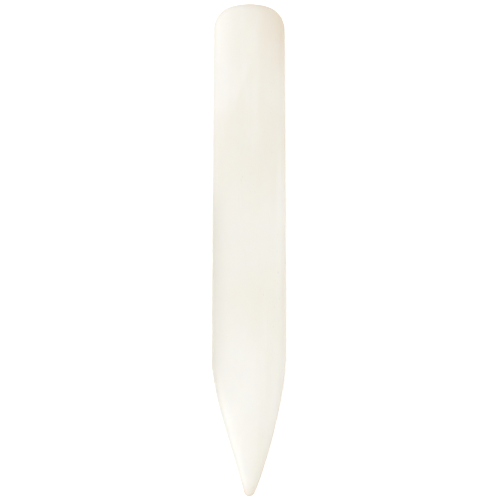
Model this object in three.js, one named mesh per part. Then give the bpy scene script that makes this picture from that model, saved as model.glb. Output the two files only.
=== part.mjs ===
// Bone folder: a paper-creasing blade, one solid strip of natural bone with a blunt rounded end
// and a slender point. Nothing is fitted to it, so the whole object is the one mesh, bone_blade.
//
// Frame, in millimetres: the blade lies on its flat underside with +Z up through its thickness,
// +Y towards the blunt end and -Y towards the point. The origin is on the ground, under the
// middle of the blade's bounding box.

import * as THREE from 'three';
import { mergeVertices } from 'three/addons/utils/BufferGeometryUtils.js';

const { degToRad, smoothstep } = THREE.MathUtils;

// Driving dimensions.
const LENGTH = 152.4; // six inches, the usual size of a hand folder
const WIDTH = 22.9; // at the shoulders, where the long taper starts
const THICKNESS = 3.0; // along the middle of the blade

// The blunt end: a shallow arc that runs into a tighter arc at each corner.
const END_RADIUS = 20.8;
const END_OFF_CENTRE = 0.1;
const END_HALF_ANGLE = degToRad(15.1);
const CORNER_RADIUS = 7.4;

// The point: a small round tip.
const TIP_RADIUS = 1.7;
const TIP_OFF_CENTRE = 0.14;

// The long edges were shaped by hand, so they differ. Each leaves the tip at its own angle below
// level, swells along the taper to the shoulder, and then narrows very gently to its corner.
// taper and body are the handles of those two curves, as [distance from the middle line, y].
const RIGHT_EDGE = {
  tipAngle: degToRad(36),
  taper: [[3.36, -73], [WIDTH / 2, -47]],
  shoulderY: -33.3,
  body: [[WIDTH / 2, -6], [11.36, 34]],
};
const LEFT_EDGE = {
  tipAngle: degToRad(16),
  taper: [[7.9, -52], [9.4, -50.9]],
  shoulderY: -36.4,
  body: [[11.31, 0], [11.24, 40]],
};

// Thickness: the underside is flat. The top face is slightly crowned, and comes down by a drop
// at each end, from a place so far from the middle of the length.
const CROWN = 0.3;
const EDGE_SHARE = 0.43; // width of the rounded edge, as a share of the thickness there
const BLUNT_THINNING = { starts: 58, drop: 1.05 };
const POINT_THINNING = { starts: 40, drop: 1.3 };

// Facets across the blade, along it and round each edge. The rows crowd towards the two ends.
const ACROSS = 10;
const ALONG = 56;
const ROUND_EDGE = 6;
const ROW_CROWDING = 0.8;

// ---- Outline -----------------------------------------------------------------------------

const TOP_Y = LENGTH / 2;
const EIGHTH_TURN = Math.PI / 4;
const QUARTER_TURN = Math.PI / 2;

const point = (x, y) => new THREE.Vector2(x, y);

const arc = (centre, radius, from, to) =>
  new THREE.EllipseCurve(centre.x, centre.y, radius, radius, from, to, to < from);

const onCircle = (centre, radius, angle) =>
  point(centre.x + radius * Math.cos(angle), centre.y + radius * Math.sin(angle));

const endCentre = point(END_OFF_CENTRE, TOP_Y - END_RADIUS);
const tipCentre = point(TIP_OFF_CENTRE, TIP_RADIUS - TOP_Y);

// The corner arcs touch the end arc from inside, so their centres lie on its radii.
const rightCorner = onCircle(endCentre, END_RADIUS - CORNER_RADIUS, QUARTER_TURN - END_HALF_ANGLE);
const leftCorner = onCircle(endCentre, END_RADIUS - CORNER_RADIUS, QUARTER_TURN + END_HALF_ANGLE);

// A path is a run of curves joined end to end.
function joined(...curves) {
  const path = new THREE.CurvePath();
  curves.forEach((curve) => path.add(curve));
  return path;
}

// A long edge, upwards from the tip. side is 1 for the right edge and -1 for the left.
function longEdge({ tipAngle, taper, shoulderY, body }, corner, side) {
  const facing = (angle) => (side > 0 ? angle : Math.PI - angle);
  const handles = (curve) => curve.map(([x, y]) => point(side * x, y));
  const meetsTip = onCircle(tipCentre, TIP_RADIUS, facing(-tipAngle));
  const shoulder = point((side * WIDTH) / 2, shoulderY);
  const meetsCorner = onCircle(corner, CORNER_RADIUS, facing(0));
  return joined(
    arc(tipCentre, TIP_RADIUS, facing(-EIGHTH_TURN), facing(-tipAngle)),
    new THREE.CubicBezierCurve(meetsTip, ...handles(taper), shoulder),
    new THREE.CubicBezierCurve(shoulder, ...handles(body), meetsCorner),
    arc(corner, CORNER_RADIUS, facing(0), facing(EIGHTH_TURN)),
  );
}

// The blunt end, from the left corner across to the right one.
function bluntEnd() {
  const meetsLeft = QUARTER_TURN + END_HALF_ANGLE;
  const meetsRight = QUARTER_TURN - END_HALF_ANGLE;
  return joined(
    arc(leftCorner, CORNER_RADIUS, Math.PI - EIGHTH_TURN, meetsLeft),
    arc(endCentre, END_RADIUS, meetsLeft, meetsRight),
    arc(rightCorner, CORNER_RADIUS, meetsRight, EIGHTH_TURN),
  );
}

// The very tip, from left to right.
function tipEnd() {
  return joined(arc(tipCentre, TIP_RADIUS, Math.PI + EIGHTH_TURN, 2 * Math.PI - EIGHTH_TURN));
}

// The outline's four sides. turn is the way from a side's own direction to outward: 1 is to its
// left and -1 to its right.
const sides = {
  left: { path: longEdge(LEFT_EDGE, leftCorner, -1), turn: 1 },
  right: { path: longEdge(RIGHT_EDGE, rightCorner, 1), turn: -1 },
  blunt: { path: bluntEnd(), turn: 1 },
  tip: { path: tipEnd(), turn: -1 },
};

// ---- Section -----------------------------------------------------------------------------

// How far along each end's thinning a place is: 0 in the body, 1 at the very end.
const bluntShare = (y) => smoothstep(y, BLUNT_THINNING.starts, TOP_Y);
const pointShare = (y) => smoothstep(-y, POINT_THINNING.starts, TOP_Y);

// The top face at Y, for a place across from -1, the left edge, to 1, the right.
const topHeight = (across, y) =>
  THICKNESS
  - CROWN * across ** 2
  - BLUNT_THINNING.drop * bluntShare(y)
  - POINT_THINNING.drop * pointShare(y);

const edgeWidth = (y) => EDGE_SHARE * topHeight(0, y);

// ---- Solid -------------------------------------------------------------------------------

// A place on one side of the outline: its outward direction, how wide the rounded edge is
// there, and the point of the flat face that the rounding starts from.
function rim(side, share) {
  const onOutline = side.path.getPoint(share);
  const forward = side.path.getTangent(share);
  const outward = point(-forward.y, forward.x).multiplyScalar(side.turn);
  const width = edgeWidth(onOutline.y);
  return { outward, width, inner: onOutline.addScaledVector(outward, -width) };
}

// A point of the flat face, blended between its four borders (a Coons patch).
function facePoint(s, t) {
  const left = rim(sides.left, t).inner;
  const right = rim(sides.right, t).inner;
  const tip = rim(sides.tip, s).inner;
  const blunt = rim(sides.blunt, s).inner;
  const tipCorners = rim(sides.left, 0).inner.lerp(rim(sides.right, 0).inner, s);
  const bluntCorners = rim(sides.left, 1).inner.lerp(rim(sides.right, 1).inner, s);
  const corners = tipCorners.lerp(bluntCorners, t);
  return left.lerp(right, s).add(tip.lerp(blunt, t)).sub(corners);
}

function rimAt(across, along, s, t) {
  if (Math.abs(along) === 1) return rim(along > 0 ? sides.blunt : sides.tip, s);
  if (Math.abs(across) === 1) return rim(across > 0 ? sides.right : sides.left, t);
  return { outward: point(0, 0), width: 0 };
}

// A place on the surface of a cube from -1 to 1 is carried to its place on the blade: the
// cube's top and bottom become the two faces, and its four sides the rounded edge.
function onBlade(across, along, up) {
  const s = (across + 1) / 2;
  const evenRow = (along + 1) / 2;
  const t = evenRow - (ROW_CROWDING * Math.sin(2 * Math.PI * evenRow)) / (2 * Math.PI);
  const face = facePoint(s, t);
  const { outward, width } = rimAt(across, along, s, t);
  const angle = up * QUARTER_TURN;
  const place = face.clone().addScaledVector(outward, width * Math.cos(angle));
  const height = (topHeight(across, face.y) * (Math.sin(angle) + 1)) / 2;
  return new THREE.Vector3(place.x, place.y, height);
}

function bladeGeometry() {
  const geometry = new THREE.BoxGeometry(2, 2, 2, ACROSS, ALONG, ROUND_EDGE);
  geometry.deleteAttribute('normal');
  geometry.deleteAttribute('uv');
  const position = geometry.getAttribute('position');
  const corner = new THREE.Vector3();
  for (let i = 0; i < position.count; i += 1) {
    corner.fromBufferAttribute(position, i);
    const { x, y, z } = onBlade(corner.x, corner.y, corner.z);
    position.setXYZ(i, x, y, z);
  }
  const solid = mergeVertices(geometry);
  solid.computeVertexNormals();
  return solid;
}

const bone = new THREE.MeshStandardMaterial({ color: '#efeadd', roughness: 0.38, metalness: 0 });

const boneBlade = new THREE.Mesh(bladeGeometry(), bone);
boneBlade.name = 'bone_blade';

const boneFolder = new THREE.Group();
boneFolder.add(boneBlade);

export default boneFolder;
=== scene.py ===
"""A bone folder's finished looks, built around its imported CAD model.

The blade is one strip of natural bone: broad and rounded at one end, slender at the other, with a
softly crowned top, a flat underside and hand-rounded edges. Lengths are in metres, and the frame is
the row's own: +Z up through the thickness, +Y towards the blunt end, -Y towards the point.
"""

import bpy
import numpy as np
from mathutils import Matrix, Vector, noise
from mathutils.kdtree import KDTree


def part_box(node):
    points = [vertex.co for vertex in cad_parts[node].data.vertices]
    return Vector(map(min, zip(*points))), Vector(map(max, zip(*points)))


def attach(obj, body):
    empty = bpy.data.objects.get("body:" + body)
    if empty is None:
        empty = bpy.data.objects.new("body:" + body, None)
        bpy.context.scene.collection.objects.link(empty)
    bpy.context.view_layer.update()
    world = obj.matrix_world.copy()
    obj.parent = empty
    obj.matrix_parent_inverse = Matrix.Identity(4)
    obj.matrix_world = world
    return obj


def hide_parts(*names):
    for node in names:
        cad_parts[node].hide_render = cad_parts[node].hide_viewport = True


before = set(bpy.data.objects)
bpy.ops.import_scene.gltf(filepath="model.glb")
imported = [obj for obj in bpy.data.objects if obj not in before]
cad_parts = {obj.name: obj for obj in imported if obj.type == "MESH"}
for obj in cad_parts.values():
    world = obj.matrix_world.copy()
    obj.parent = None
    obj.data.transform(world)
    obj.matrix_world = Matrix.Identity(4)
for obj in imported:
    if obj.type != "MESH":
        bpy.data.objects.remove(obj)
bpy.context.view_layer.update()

MM = 0.001

# ---- Driving dimensions, from the frame ---------------------------------------------------------

LOW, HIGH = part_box("bone_blade")
LENGTH = HIGH.y - LOW.y
WIDTH = HIGH.x - LOW.x
THICKNESS = HIGH.z - LOW.z
HALF_LENGTH = LENGTH / 2
HALF_WIDTH = WIDTH / 2
MIDDLE = (LOW + HIGH) / 2

# The blunt end is a shallow arc that runs into a tighter arc at each corner.
END_RADIUS = 0.908 * WIDTH
END_OFF_CENTRE = 0.005 * WIDTH
END_HALF_ANGLE = np.radians(15.1)
CORNER_RADIUS = 0.323 * WIDTH
TIP_RADIUS = 0.074 * WIDTH
TIP_OFF_CENTRE = 0.006 * WIDTH

# The two long edges: the angle below level at which each leaves the tip, the handles of its taper
# and of its body, and how far along the shoulder between them lies. They are given as shares of
# the half width and the half length.
RIGHT_EDGE = dict(
    side=1,
    tip_angle=np.radians(36),
    taper=((0.293, -0.958), (1.0, -0.617)),
    shoulder=-0.437,
    body=((1.0, -0.079), (0.992, 0.446)),
)
LEFT_EDGE = dict(
    side=-1,
    tip_angle=np.radians(16),
    taper=((0.690, -0.682), (0.821, -0.668)),
    shoulder=-0.478,
    body=((0.988, 0.0), (0.982, 0.525)),
)

# The section is a superellipse. A higher power is a flatter face with a crisper edge.
LEFT_POWER = 4.2
RIGHT_POWER = 6.5
BLUNT_POWER = 3.4
POINT_POWER = 2.8
UNDERSIDE_POWER = 8.0
RIM_SHARE = 0.12  # the part of the half width that is built as rings round the edge

# Where along the blade each end's thinning starts and ends, and how far its top comes down.
BLUNT_THINNING = dict(start=0.76 * HALF_LENGTH, end=HALF_LENGTH, drop=0.35 * THICKNESS)
POINT_THINNING = dict(start=-0.52 * HALF_LENGTH, end=-HALF_LENGTH, drop=0.43 * THICKNESS)

# The mesh: columns across each face, rows along it, and steps round the edge from each face's
# border to the widest line. The rows crowd towards the ends.
COLUMNS = 88
ROWS = 420
RINGS = 7
ROW_CROWDING = 0.75

# ---- The outline ---------------------------------------------------------------------------------

CURVE_STEPS = 400
SAME_POINT = 1e-9
EIGHTH_TURN = np.pi / 4


def arc(centre, radius, start, end):
    angle = np.linspace(start, end, CURVE_STEPS)
    return centre + radius * np.stack([np.cos(angle), np.sin(angle)], 1)


def bezier(a, b, c, d):
    t = np.linspace(0, 1, CURVE_STEPS)[:, None]
    return a * (1 - t) ** 3 + 3 * b * t * (1 - t) ** 2 + 3 * c * t**2 * (1 - t) + d * t**3


def on_circle(centre, radius, angle):
    return centre + radius * np.array([np.cos(angle), np.sin(angle)])


END_CENTRE = np.array([END_OFF_CENTRE, HALF_LENGTH - END_RADIUS])
TIP_CENTRE = np.array([TIP_OFF_CENTRE, TIP_RADIUS - HALF_LENGTH])


def corner_centre(side):
    """A corner arc touches the end arc from inside, so its centre lies on that arc's radius."""
    return on_circle(END_CENTRE, END_RADIUS - CORNER_RADIUS, np.pi / 2 - side * END_HALF_ANGLE)


def long_edge(side, tip_angle, taper, shoulder, body):
    """One long edge, upwards from an eighth of a turn below level on the tip's arc to an eighth
    of a turn above level on the corner's."""

    def facing(angle):
        return angle if side > 0 else np.pi - angle

    def place(across, along):
        return np.array([side * across * HALF_WIDTH, along * HALF_LENGTH])

    corner = corner_centre(side)
    shoulder_point = place(1, shoulder)
    parts = [
        arc(TIP_CENTRE, TIP_RADIUS, facing(-EIGHTH_TURN), facing(-tip_angle)),
        bezier(
            on_circle(TIP_CENTRE, TIP_RADIUS, facing(-tip_angle)),
            place(*taper[0]),
            place(*taper[1]),
            shoulder_point,
        ),
        bezier(
            shoulder_point,
            place(*body[0]),
            place(*body[1]),
            on_circle(corner, CORNER_RADIUS, facing(0)),
        ),
        arc(corner, CORNER_RADIUS, facing(0), facing(EIGHTH_TURN)),
    ]
    return np.concatenate(parts)


def blunt_end():
    """The blunt end, from where the right long edge stops round to where the left one does."""
    right_turn = np.pi / 2 - END_HALF_ANGLE
    left_turn = np.pi / 2 + END_HALF_ANGLE
    parts = [
        arc(corner_centre(1), CORNER_RADIUS, EIGHTH_TURN, right_turn),
        arc(END_CENTRE, END_RADIUS, right_turn, left_turn),
        arc(corner_centre(-1), CORNER_RADIUS, left_turn, np.pi - EIGHTH_TURN),
    ]
    return np.concatenate(parts)


RIGHT_LINE = long_edge(**RIGHT_EDGE)
LEFT_LINE = long_edge(**LEFT_EDGE)


class Outline:
    """The closed outline, counter-clockwise from the tip's right side, measured by arc length."""

    def __init__(self):
        runs = {
            "right": RIGHT_LINE,
            "blunt": blunt_end(),
            "left": LEFT_LINE[::-1],
            "tip": arc(TIP_CENTRE, TIP_RADIUS, np.pi + EIGHTH_TURN, 2 * np.pi - EIGHTH_TURN),
        }
        points = np.concatenate(list(runs.values()))
        steps = np.linalg.norm(np.diff(points, axis=0, append=points[:1]), axis=1)
        distinct = steps > SAME_POINT
        self.points = points[distinct]
        self.lengths = np.concatenate([[0], np.cumsum(steps[distinct])])
        self.total = self.lengths[-1]
        starts = [self.length_at(run[0]) for run in runs.values()]
        ends = starts[1:] + [self.total]
        self.sides = dict(zip(runs, zip(starts, ends)))

    def length_at(self, point):
        return self.lengths[np.argmin(np.linalg.norm(self.points - point, axis=1))]

    def at(self, lengths):
        """The point at each arc length, and the direction straight out from the blade there."""
        closed = np.concatenate([self.points, self.points[:1]])

        def read(where):
            where = np.mod(where, self.total)
            return np.stack([np.interp(where, self.lengths, closed[:, k]) for k in (0, 1)], 1)

        reach = 0.05 * MM  # the direction is taken between two points this far either side
        forward = read(lengths + reach) - read(lengths - reach)
        forward /= np.linalg.norm(forward, axis=1, keepdims=True)
        outward = np.stack([forward[:, 1], -forward[:, 0]], 1)
        return read(lengths), outward

    def side(self, name, shares):
        """Arc lengths on a side, by shares that run up the long edges and right along the ends."""
        start, end = self.sides[name]
        if name in ("blunt", "left"):
            start, end = end, start
        return start + (end - start) * shares


OUTLINE = Outline()


def half_width_at(y):
    """Half the outline's width at Y, kept as it is at the end arcs' centres beyond them."""
    y = np.clip(y, TIP_CENTRE[1], corner_centre(1)[1])
    right = np.interp(y, RIGHT_LINE[:, 1], RIGHT_LINE[:, 0])
    left = np.interp(y, LEFT_LINE[:, 1], LEFT_LINE[:, 0])
    return (right - left) / 2


# ---- The section ---------------------------------------------------------------------------------


def smooth_step(value, start, end):
    """From 0 at start to 1 at end, and level beyond them. End may be less than start."""
    t = np.clip((value - start) / (end - start), 0, 1)
    return t * t * (3 - 2 * t)


def thinned(y, start, end, drop):
    return drop * smooth_step(y, start, end)


def top_height(y):
    """The height of the top face along the middle line."""
    return HIGH.z - thinned(y, **BLUNT_THINNING) - thinned(y, **POINT_THINNING)


def top_power(x, y):
    """How flat the top is: softer on the left than on the right, and lens-shaped at the ends."""
    across = np.clip(x / half_width_at(y), -1, 1)
    power = LEFT_POWER + (RIGHT_POWER - LEFT_POWER) * smooth_step(across, -0.8, 0.8)
    along = y / HALF_LENGTH
    power += (POINT_POWER - power) * smooth_step(along, -0.35, -0.75)
    power += (BLUNT_POWER - power) * smooth_step(along, 0.45, 0.90)
    return power


def profile(share, power):
    """The height of a superellipse, from 1 at its middle, share 0, to 0 at its edge, share 1."""
    return np.maximum(1 - np.clip(share, 0, 1) ** power, 0) ** (1 / power)


# ---- The mesh ------------------------------------------------------------------------------------


def grid_shares():
    """How far each column is across the blade, and each row along it, from 0 to 1."""
    even_rows = np.linspace(0, 1, ROWS + 1)
    crowded_rows = even_rows - ROW_CROWDING * np.sin(2 * np.pi * even_rows) / (2 * np.pi)
    return np.linspace(0, 1, COLUMNS + 1), crowded_rows


def face_grid():
    """Where both faces' vertices lie: a Coons patch between the outline's four sides, which are
    drawn in by the rim's share of the half width. Rows run from the point to the blunt end."""
    s, t = grid_shares()

    def border(name, shares):
        point, outward = OUTLINE.at(OUTLINE.side(name, shares))
        return point - outward * (RIM_SHARE * half_width_at(point[:, 1]))[:, None]

    left, right = border("left", t)[:, None], border("right", t)[:, None]
    tip, blunt = border("tip", s)[None], border("blunt", s)[None]
    s, t = s[None, :, None], t[:, None, None]
    tip_corners = (1 - s) * left[:1] + s * right[:1]
    blunt_corners = (1 - s) * left[-1:] + s * right[-1:]
    corners = (1 - t) * tip_corners + t * blunt_corners
    return (1 - s) * left + s * right + (1 - t) * tip + t * blunt - corners


def border_walk():
    """The grid's border vertices in order, counter-clockwise, as (row, column), and the arc length
    of the outline beside each."""
    s, t = grid_shares()
    walk = [(0, j) for j in range(COLUMNS)]
    walk += [(i, COLUMNS) for i in range(ROWS)]
    walk += [(ROWS, j) for j in range(COLUMNS, 0, -1)]
    walk += [(i, 0) for i in range(ROWS, 0, -1)]
    lengths = np.concatenate(
        [
            OUTLINE.side("tip", s[:-1]),
            OUTLINE.side("right", t[:-1]),
            OUTLINE.side("blunt", s[:0:-1]),
            OUTLINE.side("left", t[:0:-1]),
        ]
    )
    return walk, lengths


def edge_distance(places):
    """How far each place lies inside the outline, and the Y of the outline's nearest point."""
    tree = KDTree(len(OUTLINE.points))
    for i, (x, y) in enumerate(OUTLINE.points):
        tree.insert((x, y, 0), i)
    tree.balance()
    nearest = np.array([tree.find((x, y, 0))[1] for x, y in places])
    point, outward = OUTLINE.at(OUTLINE.lengths[nearest])
    return np.abs(((places - point) * outward).sum(1)), point[:, 1]


def face_heights(places):
    """The heights of the top and the underside at places inside the rim, and how far each place
    is from the outline. The equator is the blade's widest level, halfway up."""
    distance, edge_y = edge_distance(places)
    share = 1 - distance / half_width_at(edge_y)
    top = top_height(places[:, 1])
    equator = (top + LOW.z) / 2
    up = (top - equator) * profile(share, top_power(places[:, 0], edge_y))
    down = (equator - LOW.z) * profile(share, UNDERSIDE_POWER)
    return equator + up, equator - down, distance


def rim_rings(lengths):
    """Rings of vertices round the edge, from just outside the top face's border to just outside
    the underside's, and each ring's distance from the outline."""
    point, outward = OUTLINE.at(lengths)
    half = half_width_at(point[:, 1])
    power = top_power(point[:, 0], point[:, 1])
    rings = []
    for step in range(1, 2 * RINGS):
        on_top = step <= RINGS
        n = power if on_top else np.full_like(power, UNDERSIDE_POWER)
        first = np.arcsin((1 - RIM_SHARE) ** (n / 2))
        part = step / RINGS if on_top else 2 - step / RINGS
        angle = first + (np.pi / 2 - first) * part
        share = np.sin(angle) ** (2 / n)
        rise = np.maximum(np.cos(angle), 0) ** (2 / n)
        place = point - outward * (half * (1 - share))[:, None]
        top = top_height(place[:, 1])
        equator = (top + LOW.z) / 2
        height = equator + rise * ((top - equator) if on_top else (LOW.z - equator))
        rings.append((np.column_stack([place, height]), half * (1 - share)))
    return rings


def quads(first, second, closed=False):
    """Quads between two equal runs of vertex numbers, wound the same way."""
    a, b = np.asarray(first), np.asarray(second)
    if closed:
        a, b = np.append(a, a[0]), np.append(b, b[0])
    return np.stack([a[:-1], a[1:], b[1:], b[:-1]], 1)


def blade_arrays():
    """The blade's vertices, its quads, and each vertex's distance in from the outline."""
    flat = face_grid().reshape(-1, 2)
    top, under, distance = face_heights(flat)
    count = len(flat)
    walk, lengths = border_walk()
    number = np.arange(count).reshape(ROWS + 1, COLUMNS + 1)
    border = np.array([number[i, j] for i, j in walk])

    places = [np.column_stack([flat, top])]
    distances = [distance]
    faces = [quads(number[i], number[i + 1]) for i in range(ROWS)]
    last = border
    start = count
    for ring, ring_distance in rim_rings(lengths):
        ids = start + np.arange(len(ring))
        faces.append(quads(ids, last, closed=True))
        places.append(ring)
        distances.append(ring_distance)
        last = ids
        start += len(ring)
    faces.append(quads(start + border, last, closed=True))
    faces += [quads(start + number[i], start + number[i + 1])[:, ::-1] for i in range(ROWS)]
    places.append(np.column_stack([flat, under]))
    distances.append(distance)
    return np.concatenate(places), np.concatenate(faces), np.concatenate(distances)


def mesh_object(name, vertices, faces):
    mesh = bpy.data.meshes.new(name)
    mesh.from_pydata(vertices.tolist(), [], [list(map(int, face)) for face in faces])
    mesh.shade_smooth()
    mesh.update()
    thing = bpy.data.objects.new(name, mesh)
    bpy.context.scene.collection.objects.link(thing)
    return thing


# ---- Hand finishing ------------------------------------------------------------------------------


def ripple(places, across, along, seed):
    """Smooth noise from -1 to 1 at each place, with the given sizes across and along the blade."""
    return np.array(
        [noise.noise(Vector((x / across, y / along, seed + z / across))) for x, y, z in places]
    )


def past_scraped_line(x, y):
    """How far each place lies to the left of the slanting line that bounds the scraped plane."""
    line_x, line_y = 0.09 * WIDTH, 0.78 * HALF_LENGTH
    run_x, run_y = -0.35, -0.94
    return (x - line_x) * run_y - (y - line_y) * run_x


def scraped_drop(x, y):
    """How deep the scraped plane is: it falls away from its line at a slight tilt, and its start
    is softened by the polish."""
    tilt = np.radians(1.0)
    softness = 0.7 * MM
    return np.tan(tilt) * softness * np.logaddexp(0, past_scraped_line(x, y) / softness)


def hand_finished(vertices):
    """The slight waves that sanding and polishing by hand leave in the edges and the faces."""
    x, y, z = vertices.T
    over_top = smooth_step(z, MIDDLE.z, HIGH.z)
    long_waves = 0.045 * MM * ripple(vertices, 9 * MM, 34 * MM, seed=3.1)
    short_waves = 0.012 * MM * ripple(vertices, 3 * MM, 12 * MM, seed=7.7)
    lift = (long_waves + short_waves - scraped_drop(x, y)) * over_top
    across = np.clip(x / half_width_at(y), -1, 1)
    middle_line = vertices * [0, 1, 0]  # so that an edge moves as one through its thickness
    spread = 0.05 * MM * across * ripple(middle_line, WIDTH, 11 * MM, seed=5.3)
    return np.column_stack([x + spread, y, z + lift])


# ---- Materials -----------------------------------------------------------------------------------


class Tree:
    """A short way to write a material's nodes."""

    def __init__(self, name):
        self.material = bpy.data.materials.new(name)
        self.material.use_nodes = True
        self.nodes = self.material.node_tree.nodes
        self.links = self.material.node_tree.links
        self.shader = self.nodes["Principled BSDF"]

    def add(self, kind, inputs=(), **settings):
        made = self.nodes.new(kind)
        for key, value in settings.items():
            setattr(made, key, value)
        for socket, value in dict(inputs).items():
            self.feed(made.inputs[socket], value)
        return made

    def feed(self, socket, value):
        if isinstance(value, bpy.types.NodeSocket):
            self.links.new(value, socket)
        else:
            socket.default_value = value

    def maths(self, operation, a, b=0.0, clamp=False):
        made = self.add("ShaderNodeMath", {0: a, 1: b}, operation=operation, use_clamp=clamp)
        return made.outputs[0]

    def spread(self, value, low, high, to_low=0.0, to_high=1.0):
        inputs = {0: value, 1: low, 2: high, 3: to_low, 4: to_high}
        return self.add("ShaderNodeMapRange", inputs, interpolation_type="SMOOTHSTEP").outputs[0]

    def blend(self, share, a, b):
        made = self.add("ShaderNodeMix", data_type="RGBA", clamp_factor=True)
        self.feed(made.inputs[0], share)
        self.feed(made.inputs[6], a)
        self.feed(made.inputs[7], b)
        return made.outputs[2]

    def stretched(self, across, along):
        """Object coordinates measured in a grain of the given sizes across and along the blade."""
        where = self.add("ShaderNodeTexCoord").outputs["Object"]
        scale = (1 / across, 1 / along, 1 / across)
        return self.add("ShaderNodeMapping", {"Vector": where, "Scale": scale}).outputs[0]

    def noise(self, across, along, detail=2.0, roughness=0.5, distortion=0.0):
        inputs = {
            "Vector": self.stretched(across, along),
            "Scale": 1.0,
            "Detail": detail,
            "Roughness": roughness,
            "Distortion": distortion,
        }
        return self.add("ShaderNodeTexNoise", inputs).outputs["Fac"]


def bone_material():
    tree = Tree("polished_bone")
    shader = tree.shader

    # The bone's own colours and that of its pores, and the tints that tints() places: a brown for
    # the rim's patina and painted shade, a white for painted highlight, a yellow for yellowing and
    # painted shade, and a grey for painted shade.
    ivory = (0.788, 0.770, 0.710, 1)
    cream = (0.771, 0.743, 0.660, 1)
    chalk = (0.815, 0.802, 0.755, 1)
    patina_and_shade = (0.650, 0.525, 0.385, 1)
    canal = (0.520, 0.420, 0.300, 1)
    highlight_white = (0.830, 0.815, 0.775, 1)
    yellow = (0.715, 0.620, 0.490, 1)
    grey = (0.690, 0.668, 0.606, 1)

    clouds = tree.noise(14 * MM, 34 * MM, detail=3)
    colour = tree.blend(tree.spread(clouds, 0.42, 0.70, 0, 0.85), ivory, cream)
    bands = tree.noise(5.6 * MM, 60 * MM, detail=2)
    colour = tree.blend(tree.spread(bands, 0.50, 0.80, 0, 0.7), colour, chalk)

    # Fibres and pores run along the blade, as they do along the bone that it was cut from.
    fibres = tree.noise(0.28 * MM, 9 * MM, detail=3, roughness=0.6, distortion=0.2)
    fibre_lines = tree.spread(fibres, 0.50, 0.76, 0, 0.40)
    colour = tree.blend(fibre_lines, colour, cream)

    pores = tree.noise(0.16 * MM, 1.1 * MM, detail=1)
    pore_spots = tree.spread(pores, 0.70, 0.80)
    pore_patches = tree.spread(tree.noise(6 * MM, 22 * MM), 0.45, 0.65)
    pore_mask = tree.maths("MULTIPLY", pore_spots, pore_patches)
    colour = tree.blend(tree.maths("MULTIPLY", pore_mask, 0.40), colour, canal)

    # A tint comes through unevenly, in patches. Among them are the painted highlight and painted
    # shade, and the rim's patina and painted shade.
    patches = tree.noise(5 * MM, 12 * MM, detail=3)
    for name, tint, weakest in (
        ("painted_highlight", highlight_white, 0.6),
        ("yellowing_and_shade", yellow, 0.75),
        ("left_painted_shade", grey, 0.75),
        ("rim", patina_and_shade, 0.5),
    ):
        share = tree.add("ShaderNodeAttribute", attribute_name=name).outputs["Fac"]
        mask = tree.maths("MULTIPLY", share, tree.spread(patches, 0.3, 0.7, weakest, 1.0))
        colour = tree.blend(mask, colour, tint)
    tree.feed(shader.inputs["Base Color"], colour)

    # The polish is satin, duller in scratches and pores.
    scratches = tree.noise(0.05 * MM, 5 * MM, detail=2)
    scratch_lines = tree.spread(scratches, 0.62, 0.75)
    polish = tree.spread(tree.noise(7 * MM, 16 * MM, detail=4), 0.3, 0.7, 0.31, 0.40)
    rough = tree.maths("ADD", polish, tree.maths("MULTIPLY", scratch_lines, 0.10))
    rough = tree.maths("ADD", rough, tree.maths("MULTIPLY", pore_mask, 0.20), clamp=True)
    tree.feed(shader.inputs["Roughness"], rough)

    # Fibres stand up a little; pores and scratches are cut in.
    relief = tree.maths("MULTIPLY", fibres, 0.35)
    relief = tree.maths("SUBTRACT", relief, tree.maths("MULTIPLY", pore_mask, 0.8))
    relief = tree.maths("SUBTRACT", relief, tree.maths("MULTIPLY", scratch_lines, 0.10))
    bump = tree.add("ShaderNodeBump", {"Height": relief, "Strength": 0.35, "Distance": 0.02 * MM})
    tree.feed(shader.inputs["Normal"], bump.outputs[0])

    shader.inputs["IOR"].default_value = 1.54
    shader.inputs["Subsurface Weight"].default_value = 0.25
    shader.inputs["Subsurface Radius"].default_value = (1.0, 0.75, 0.50)
    shader.inputs["Subsurface Scale"].default_value = 0.6 * MM
    return tree.material


# ---- The blade -----------------------------------------------------------------------------------


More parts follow.
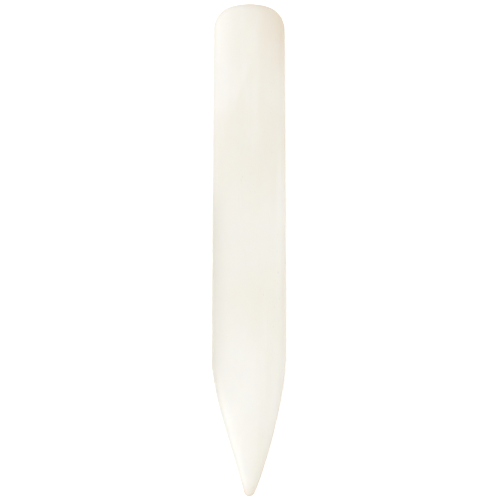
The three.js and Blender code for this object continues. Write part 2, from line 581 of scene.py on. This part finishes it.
def tints(vertices, distances):
    """How far each tint has come through at each vertex: not at all at 0, and wholly at 1 or more.
    They are the bone's yellowing and rim patina, and painted highlight and painted shade for light
    that falls mostly from the left.

    Across runs from -1 at the left edge to 1 at the right, and along from -1 at the point to 1 at
    the blunt end. Distances are measured in from the outline.
    """
    x, y, _ = vertices.T
    across = np.clip(x / half_width_at(y), -1, 1)
    along = y / HALF_LENGTH

    # Patina and painted shade on the rim: it is browner and darker, most of all on the right, away
    # from the light, round both ends and at the tip.
    strength = 0.40 + 0.15 * smooth_step(abs(along), 0.3, 0.9)
    ends = smooth_step(abs(along), 0.93, 1)
    rim = strength * smooth_step(across + 0.5 * ends, -0.2, 0.9)
    rim += 0.5 * smooth_step(along, -0.96, -1)

    # Yellowing and painted shade: warmer and darker at the right corner of the blunt end, away from
    # the light, and at the tip, and a little over the blunt half.
    corner = smooth_step(across, -0.2, 1.1) * smooth_step(along, 0.60, 1.05)
    yellowing_and_shade = corner + 0.10 * smooth_step(along, 0.1, 0.5) + 0.5 * smooth_step(along, -0.93, -1)

    # Painted shade: the left edge is greyed in the middle of the blade, where less light falls on
    # it than near the ends.
    middle = smooth_step(along, -0.76, -0.40) * smooth_step(along, 0.34, 0.08)
    near_left = np.exp(-((distances / (3.3 * MM)) ** 2)) * smooth_step(across, -0.2, -0.6)

    # Painted highlight: paler colour on the left of the blunt half, in the scraped plane and on the
    # left towards the point, where the light falls most.
    blunt_left = smooth_step(across, -0.1, -0.9) * smooth_step(along, 0.35, 0.70)
    scraped = smooth_step(past_scraped_line(x, y), 0, 1.5 * MM)
    scraped *= smooth_step(along, 0.50, 0.65) * smooth_step(along, 0.82, 0.70)
    point = smooth_step(across, 0.7, -0.1) * smooth_step(along, -0.15, -0.50)

    return {
        "rim": rim * np.exp(-distances / (0.40 * MM)),
        "yellowing_and_shade": yellowing_and_shade,
        "left_painted_shade": near_left * middle,
        "painted_highlight": blunt_left + 0.70 * scraped + 0.75 * point,
    }


def bone_blade():
    vertices, faces, distances = blade_arrays()
    blade = mesh_object("polished_blade", hand_finished(vertices), faces)
    for name, values in tints(vertices, distances).items():
        blade.data.attributes.new(name, "FLOAT", "POINT").data.foreach_set("value", values)
    blade.data.materials.append(bone_material())
    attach(blade, "root")
    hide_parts("bone_blade")
    return blade


# ---- Stage, light and camera ---------------------------------------------------------------------


def stage_floor():
    """A round floor that sweeps up at its rim into a low backdrop, all one pale surface."""
    flat_radius, sweep_radius, around = 1.4, 1.2, 96
    gap = 0.02 * MM  # below the blade
    climb = np.linspace(0, np.radians(65), 16)
    radii = np.concatenate([[0.5, 1.0], flat_radius + sweep_radius * np.sin(climb)])
    heights = np.concatenate([[0, 0], sweep_radius * (1 - np.cos(climb))]) + LOW.z - gap
    turn = np.linspace(0, 2 * np.pi, around, endpoint=False)
    circle = np.column_stack([np.cos(turn), np.sin(turn), 0 * turn])
    rings = [radius * circle + (0, 0, height) for radius, height in zip(radii, heights)]
    numbers = np.arange(around * len(rings)).reshape(-1, around)
    faces = [numbers[0]]
    for inner, outer in zip(numbers[:-1], numbers[1:]):
        faces.extend(quads(outer, inner, closed=True))
    floor = mesh_object("floor", np.concatenate(rings), faces)
    tree = Tree("white_floor")
    tree.shader.inputs["Base Color"].default_value = (0.92, 0.92, 0.92, 1)
    tree.shader.inputs["Roughness"].default_value = 0.9
    tree.shader.inputs["Specular IOR Level"].default_value = 0.0
    tree.shader.inputs["Emission Color"].default_value = (1, 1, 1, 1)
    tree.shader.inputs["Emission Strength"].default_value = 0.28
    floor.data.materials.append(tree.material)


# Each softbox: its place, the place it faces, its width and height, and its power in watts.
SOFTBOXES = {
    "overhead": ((-0.25, 0, 1.3), (0, 0, 0), (1.3, 1.3), 3.55),
    "upper_left": ((-0.28, 0.40, 0.85), (0, 0.02, 0), (0.35, 0.35), 1.7),
    "lower_left": ((-0.28, -0.40, 0.85), (0, -0.02, 0), (0.35, 0.35), 2.2),
    "low_lower_left": ((-0.45, -0.42, 0.45), (0, -0.03, 0), (0.35, 0.35), 0.15),
    "low_left": ((-0.95, 0, 0.25), (0, 0, 0), (1.2, 0.3), 1.1),
    "right": ((0.9, 0.1, 0.6), (0, 0, 0), (0.8, 0.8), 2.85),
}


def softbox(name, place, target, size, power):
    light = bpy.data.lights.new(name, "AREA")
    light.shape = "RECTANGLE"
    light.size, light.size_y = size
    light.energy = power
    lamp = bpy.data.objects.new(name, light)
    bpy.context.scene.collection.objects.link(lamp)
    lamp.location = place
    lamp.rotation_euler = (Vector(target) - Vector(place)).to_track_quat("-Z", "Y").to_euler()


def studio():
    """Soft even light from all round, with more of it from the left."""
    world = bpy.data.worlds.new("studio")
    bpy.context.scene.world = world
    world.use_nodes = True
    background = world.node_tree.nodes["Background"]
    background.inputs["Color"].default_value = (1, 1, 1, 1)
    background.inputs["Strength"].default_value = 0.45
    for name, setting in SOFTBOXES.items():
        softbox(name, *setting)


def camera():
    """The camera looks straight down on the blade, with the blunt end up in the picture."""
    lens, sensor = 100.0, 36.0
    picture = 1.0148 * LENGTH  # how much the picture takes in, halfway up the blade
    right, up = 0.38 * MM, 0.08 * MM  # from the middle of the blade
    distance = picture / 2 / (sensor / 2 / lens)
    data = bpy.data.cameras.new("camera")
    data.lens, data.sensor_width = lens, sensor
    eye = bpy.data.objects.new("camera", data)
    bpy.context.scene.collection.objects.link(eye)
    eye.location = (right, up, MIDDLE.z + distance)
    bpy.context.scene.camera = eye


bone_blade()
stage_floor()
studio()
camera()
bpy.context.scene.view_settings.view_transform = "Standard"
bpy.context.scene.cycles.use_denoising = True
